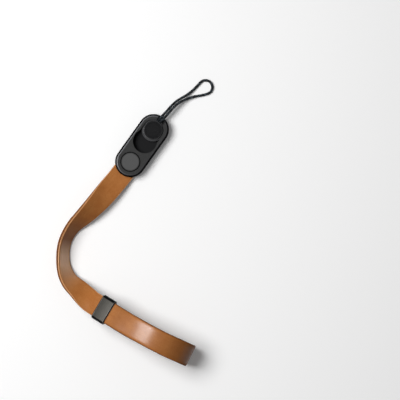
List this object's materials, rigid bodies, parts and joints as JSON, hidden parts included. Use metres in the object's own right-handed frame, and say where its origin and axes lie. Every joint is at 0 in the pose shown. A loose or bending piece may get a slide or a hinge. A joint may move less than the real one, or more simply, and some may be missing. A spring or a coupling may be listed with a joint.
{
  "type": "camera wrist strap",
  "caption": "Leather camera wrist strap: one strip doubled through a sliding keeper into a cuff, pinned in a moulded housing that holds a round quick-release anchor on a short looped cord.",
  "frame": {"origin": "middle of the flat back of the housing, on which the part lies", "axes": "+Y along the housing to the end that the cord leaves, +Z out of the housing's face, +X to its right seen from the face"},
  "size_m": [0.1547, 0.2257, 0.0421],
  "materials": {
    "tan_leather": "smooth, waxed, softly shining",
    "shell_plastic": "moulded, finely textured",
    "cover_plastic": "moulded, matt",
    "cap_plastic": "fine matt",
    "anchor_plastic": "moulded, with a slight shine",
    "cord_fibre": "braided",
    "dark_steel": "blackened",
    "gunmetal": "bead-blasted and anodised",
    "liner_plastic": "smooth"
  },
  "bodies": {
    "strap_body": {"strap": "tan_leather", "housing_front": "shell_plastic", "housing_back": "cover_plastic", "housing_screw_1": "dark_steel", "housing_screw_2": "dark_steel", "housing_screw_3": "dark_steel", "housing_screw_4": "dark_steel", "strap_post": "dark_steel", "post_cap": "cap_plastic", "anchor_spring": "dark_steel"},
    "anchor": {"anchor_button": "anchor_plastic", "anchor_flange": "anchor_plastic", "anchor_cord": "cord_fibre"},
    "keeper": {"keeper_sleeve": "gunmetal", "keeper_liner": "liner_plastic"}
  },
  "joints": [
    {"name": "anchor_slide", "type": "slide", "parent": "strap_body", "child": "anchor", "axis": [0, -1, 0], "range_m": [0, 0.0119]},
    {"name": "keeper_slide", "type": "slide", "parent": "strap_body", "child": "keeper", "axis": [0.9388, 0.0788, 0.3355], "range_m": [-0.006, 0.001]}
  ]
}
